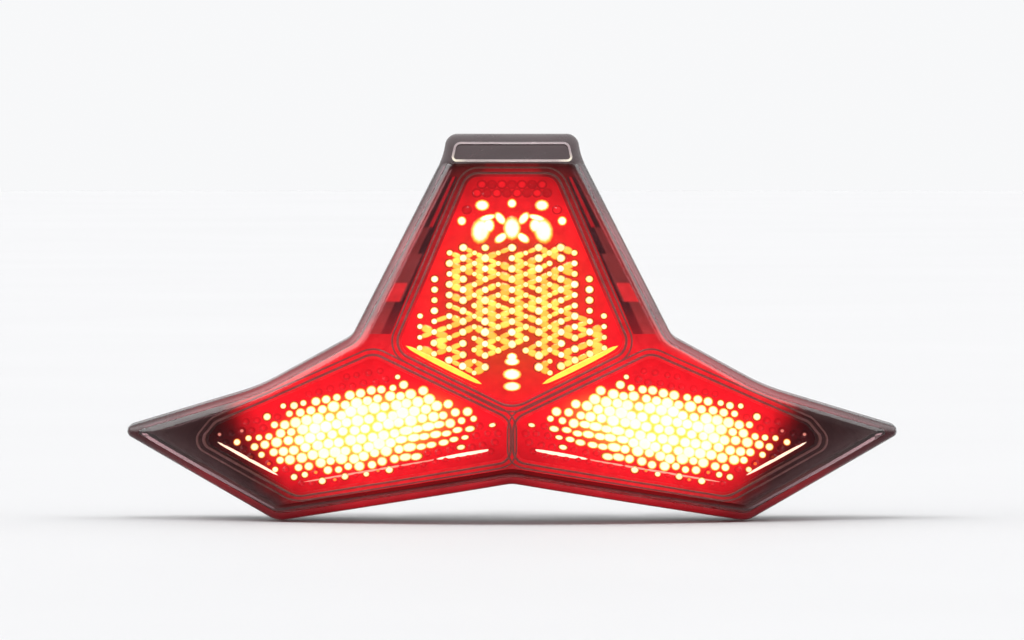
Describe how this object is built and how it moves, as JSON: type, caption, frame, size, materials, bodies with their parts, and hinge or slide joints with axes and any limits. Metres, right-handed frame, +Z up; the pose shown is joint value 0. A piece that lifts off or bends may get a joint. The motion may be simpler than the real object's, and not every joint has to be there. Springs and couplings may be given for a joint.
{
  "type": "motorcycle tail light",
  "caption": "LED motorcycle tail light with an upright keystone lens between two swept wings, on a rubber mounted housing.",
  "frame": {"origin": "under the middle of the light, level with the lowest point of the lens", "axes": "+X across to the right as seen from behind the motorcycle, +Y forwards on the motorcycle, +Z up; the lens faces -Y"},
  "size_m": [0.238, 0.1344, 0.1177],
  "materials": {
    "smoked_lens": "smoked clear, glossy",
    "seal_rubber": "matte",
    "housing_plastic": "moulded satin",
    "dark_bezel": "dark smoked gloss",
    "red_optic": "translucent red, pillowed, lit",
    "reflector_metal": "metallised mirror",
    "board_green": "solder mask",
    "led_white": "lit",
    "screw_steel": "zinc plated",
    "black_epoxy": "moulded",
    "capacitor_can": "satin",
    "header_plastic": "moulded",
    "lead_jacket": "satin",
    "collar_steel": "zinc plated"
  },
  "bodies": {
    "root": {"cable_gland": "seal_rubber", "center_board": "board_green", "center_board_screw_1": "screw_steel", "center_board_screw_2": "screw_steel", "center_board_screw_3": "screw_steel", "center_led_1": "led_white", "center_led_10": "led_white", "center_led_11": "led_white", "center_led_12": "led_white", "center_led_2": "led_white", "center_led_3": "led_white", "center_led_4": "led_white", "center_led_5": "led_white", "center_led_6": "led_white", "center_led_7": "led_white", "center_led_8": "led_white", "center_led_9": "led_white", "center_optic": "red_optic", "center_reflector": "reflector_metal", "control_chip": "black_epoxy", "drive_capacitor": "capacitor_can", "drive_inductor": "black_epoxy", "inner_bezel": "dark_bezel", "lead_header": "header_plastic", "left_board": "board_green", "left_board_screw_1": "screw_steel", "left_board_screw_2": "screw_steel", "left_lead": "lead_jacket", "left_led_1": "led_white", "left_led_2": "led_white", "left_led_3": "led_white", "left_led_4": "led_white", "left_led_5": "led_white", "left_mount_collar": "collar_steel", "left_mount_grommet": "seal_rubber", "left_mount_screw": "screw_steel", "left_optic": "red_optic", "left_reflector": "reflector_metal", "lens_seal": "seal_rubber", "outer_lens": "smoked_lens", "rear_housing": "housing_plastic", "right_board": "board_green", "right_board_screw_1": "screw_steel", "right_board_screw_2": "screw_steel", "right_lead": "lead_jacket", "right_led_1": "led_white", "right_led_2": "led_white", "right_led_3": "led_white", "right_led_4": "led_white", "right_led_5": "led_white", "right_mount_collar": "collar_steel", "right_mount_grommet": "seal_rubber", "right_mount_screw": "screw_steel", "right_optic": "red_optic", "right_reflector": "reflector_metal", "top_mount_collar": "collar_steel", "top_mount_grommet": "seal_rubber", "top_mount_screw": "screw_steel", "vent_cap": "black_epoxy"}
  },
  "joints": []
}
